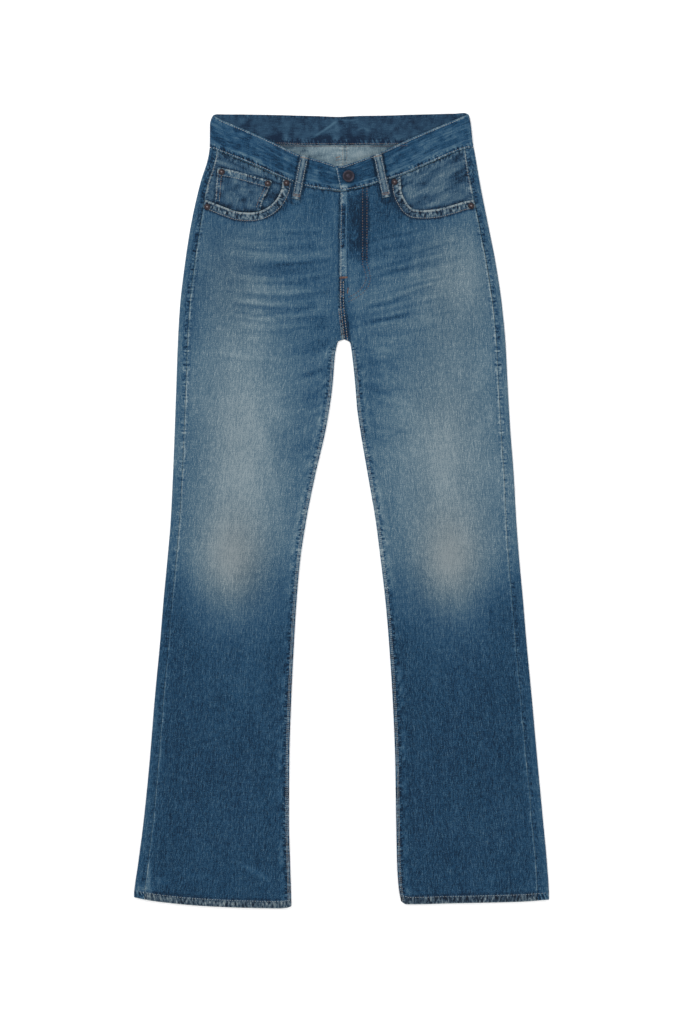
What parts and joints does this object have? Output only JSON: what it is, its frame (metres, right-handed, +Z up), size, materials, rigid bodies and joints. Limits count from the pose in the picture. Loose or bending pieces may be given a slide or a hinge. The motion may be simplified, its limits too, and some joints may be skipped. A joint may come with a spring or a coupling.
{
  "type": "jeans",
  "caption": "Button-fly denim jeans with hip pockets, a coin pocket, belt loops and slightly flared legs, laid flat on their back.",
  "frame": {"origin": "middle of the garment's footprint, on the surface that it lies on", "axes": "+X across the garment to the wearer's left, +Y along it to the waist, +Z up out of its front"},
  "size_m": [0.6014, 1.1527, 0.0118],
  "materials": {
    "front_panel_right_material": "washed indigo denim, matt",
    "front_panel_left_material": "washed indigo denim, matt",
    "back_panel_right_material": "washed indigo denim, matt",
    "back_panel_left_material": "washed indigo denim, matt",
    "yoke_right_material": "washed indigo denim, matt",
    "yoke_left_material": "washed indigo denim, matt",
    "waistband_material": "washed indigo denim, matt",
    "pocket_facing_right_material": "washed indigo denim, matt",
    "pocket_facing_left_material": "washed indigo denim, matt",
    "coin_pocket_material": "washed indigo denim, matt",
    "back_pocket_right_material": "washed indigo denim, matt",
    "back_pocket_left_material": "washed indigo denim, matt",
    "belt_loop_front_right_material": "washed indigo denim, matt",
    "belt_loop_front_left_material": "washed indigo denim, matt",
    "belt_loop_side_right_material": "washed indigo denim, matt",
    "belt_loop_side_left_material": "washed indigo denim, matt",
    "belt_loop_center_back_material": "washed indigo denim, matt",
    "waist_button_material": "aged copper-brown metal",
    "rivet_pocket_outer_right_material": "aged copper-brown metal",
    "rivet_pocket_inner_right_material": "aged copper-brown metal",
    "rivet_coin_outer_material": "aged copper-brown metal",
    "rivet_coin_inner_material": "aged copper-brown metal",
    "rivet_pocket_inner_left_material": "aged copper-brown metal",
    "rivet_pocket_outer_left_material": "aged copper-brown metal"
  },
  "bodies": {
    "root": {"front_panel_right": "front_panel_right_material", "front_panel_left": "front_panel_left_material", "back_panel_right": "back_panel_right_material", "back_panel_left": "back_panel_left_material", "yoke_right": "yoke_right_material", "yoke_left": "yoke_left_material", "waistband": "waistband_material", "pocket_facing_right": "pocket_facing_right_material", "pocket_facing_left": "pocket_facing_left_material", "coin_pocket": "coin_pocket_material", "back_pocket_right": "back_pocket_right_material", "back_pocket_left": "back_pocket_left_material", "belt_loop_front_right": "belt_loop_front_right_material", "belt_loop_front_left": "belt_loop_front_left_material", "belt_loop_side_right": "belt_loop_side_right_material", "belt_loop_side_left": "belt_loop_side_left_material", "belt_loop_center_back": "belt_loop_center_back_material", "waist_button": "waist_button_material", "rivet_pocket_outer_right": "rivet_pocket_outer_right_material", "rivet_pocket_inner_right": "rivet_pocket_inner_right_material", "rivet_coin_outer": "rivet_coin_outer_material", "rivet_coin_inner": "rivet_coin_inner_material", "rivet_pocket_inner_left": "rivet_pocket_inner_left_material", "rivet_pocket_outer_left": "rivet_pocket_outer_left_material"}
  },
  "joints": []
}
